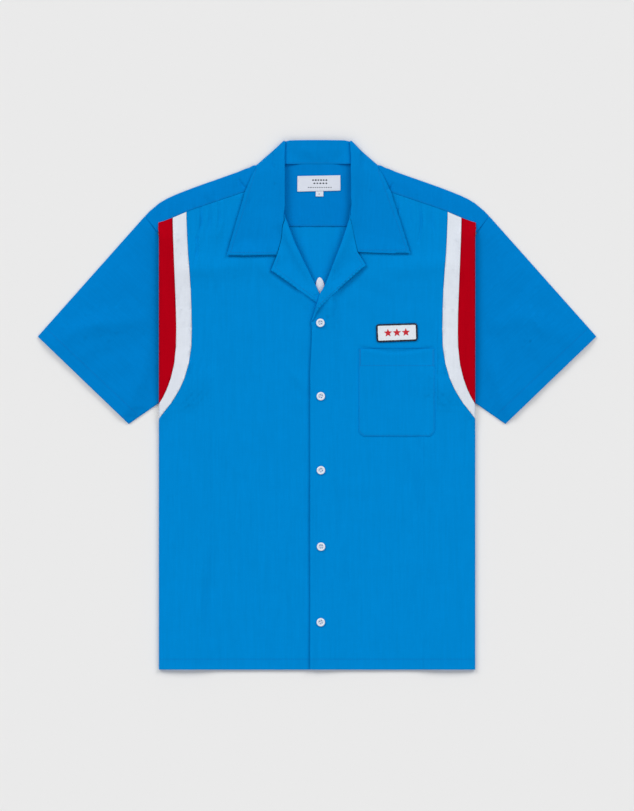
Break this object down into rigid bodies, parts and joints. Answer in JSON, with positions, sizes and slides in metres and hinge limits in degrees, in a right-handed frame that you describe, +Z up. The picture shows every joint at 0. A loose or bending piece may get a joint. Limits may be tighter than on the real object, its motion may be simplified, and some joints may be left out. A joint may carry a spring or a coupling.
{
  "type": "mechanic shirt, short-sleeved with a camp collar, buttoned and laid flat",
  "caption": "Short-sleeve button-front work shirt with camp collar, curved colour strips at the armholes and chest pocket, laid flat face up.",
  "frame": {"origin": "middle of the outline, on the surface the shirt lies on", "axes": "+X to the wearer's left, across the sleeves; +Y towards the collar; +Z up, away from the surface"},
  "size_m": [0.8378, 0.7944, 0.011],
  "materials": {
    "blue": "plain woven twill, matte with a faint sheen",
    "white": "plain woven twill, matte",
    "red": "plain woven twill, matte",
    "label": "smooth woven label tape",
    "patch": "woven patch with a stitched border",
    "button": "satin, slightly pearly"
  },
  "bodies": {
    "root": {"back": "blue", "yoke": "blue", "front_left": "blue", "front_right": "blue", "stripe_white_left": "white", "stripe_white_right": "white", "stripe_red_left": "red", "stripe_red_right": "red", "sleeve_left": "blue", "sleeve_right": "blue", "collar": "blue", "pocket": "blue", "name_patch": "patch", "neck_label": "label", "size_tab": "label", "back_patch": "white", "button_1": "button", "button_2": "button", "button_3": "button", "button_4": "button", "button_5": "button"}
  },
  "joints": []
}
